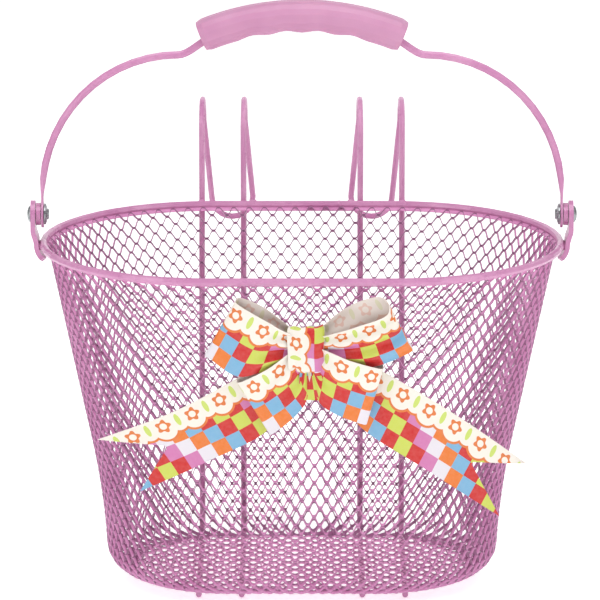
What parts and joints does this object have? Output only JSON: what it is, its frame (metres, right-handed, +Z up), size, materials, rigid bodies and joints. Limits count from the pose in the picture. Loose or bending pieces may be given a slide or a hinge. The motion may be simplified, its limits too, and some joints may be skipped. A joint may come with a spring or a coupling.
{
  "type": "handlebar basket",
  "caption": "Tapered oval wire-mesh basket with double hooks for a handlebar, a swinging carrying handle with a finger grip, and a ribbon bow on its front.",
  "frame": {"origin": "on the ground, under the middle of the whole object's box", "axes": "+Z up, -Y the front with the bow, +Y the back with the handlebar hooks, +X to the right seen from the front"},
  "size_m": [0.3036, 0.2343, 0.3259],
  "materials": {
    "pink_coat": "glossy powder coat on steel wire",
    "mesh_coat": "glossy powder coat on expanded steel mesh",
    "plated_steel": "bright plated steel",
    "grip_plastic": "satin moulded plastic",
    "ribbon": "printed, slightly glossy ribbon",
    "tie_wire": "white coated wire"
  },
  "bodies": {
    "basket": {"rim_ring": "pink_coat", "mesh_wall": "mesh_coat", "mesh_floor": "mesh_coat", "hook_wire_left": "pink_coat", "hook_wire_right": "pink_coat", "pivot_ear_left": "pink_coat", "pivot_ear_right": "pink_coat", "rivet_left": "plated_steel", "rivet_right": "plated_steel", "spacer_washer_left": "pink_coat", "spacer_washer_right": "pink_coat", "cap_washer_left": "plated_steel", "cap_washer_right": "plated_steel", "bow_upper_loops": "ribbon", "bow_lower_loops": "ribbon", "bow_tails": "ribbon", "bow_knot_band": "ribbon", "bow_tie_wire": "tie_wire"},
    "handle": {"bail_wire": "pink_coat", "grip_front_shell": "grip_plastic", "grip_back_shell": "grip_plastic"}
  },
  "joints": [
    {"name": "handle_swing", "type": "hinge", "parent": "basket", "child": "handle", "pos_m": [0, -0.01155, 0.206], "axis": [1, 0, 0], "range_deg": [-63, 94]}
  ]
}
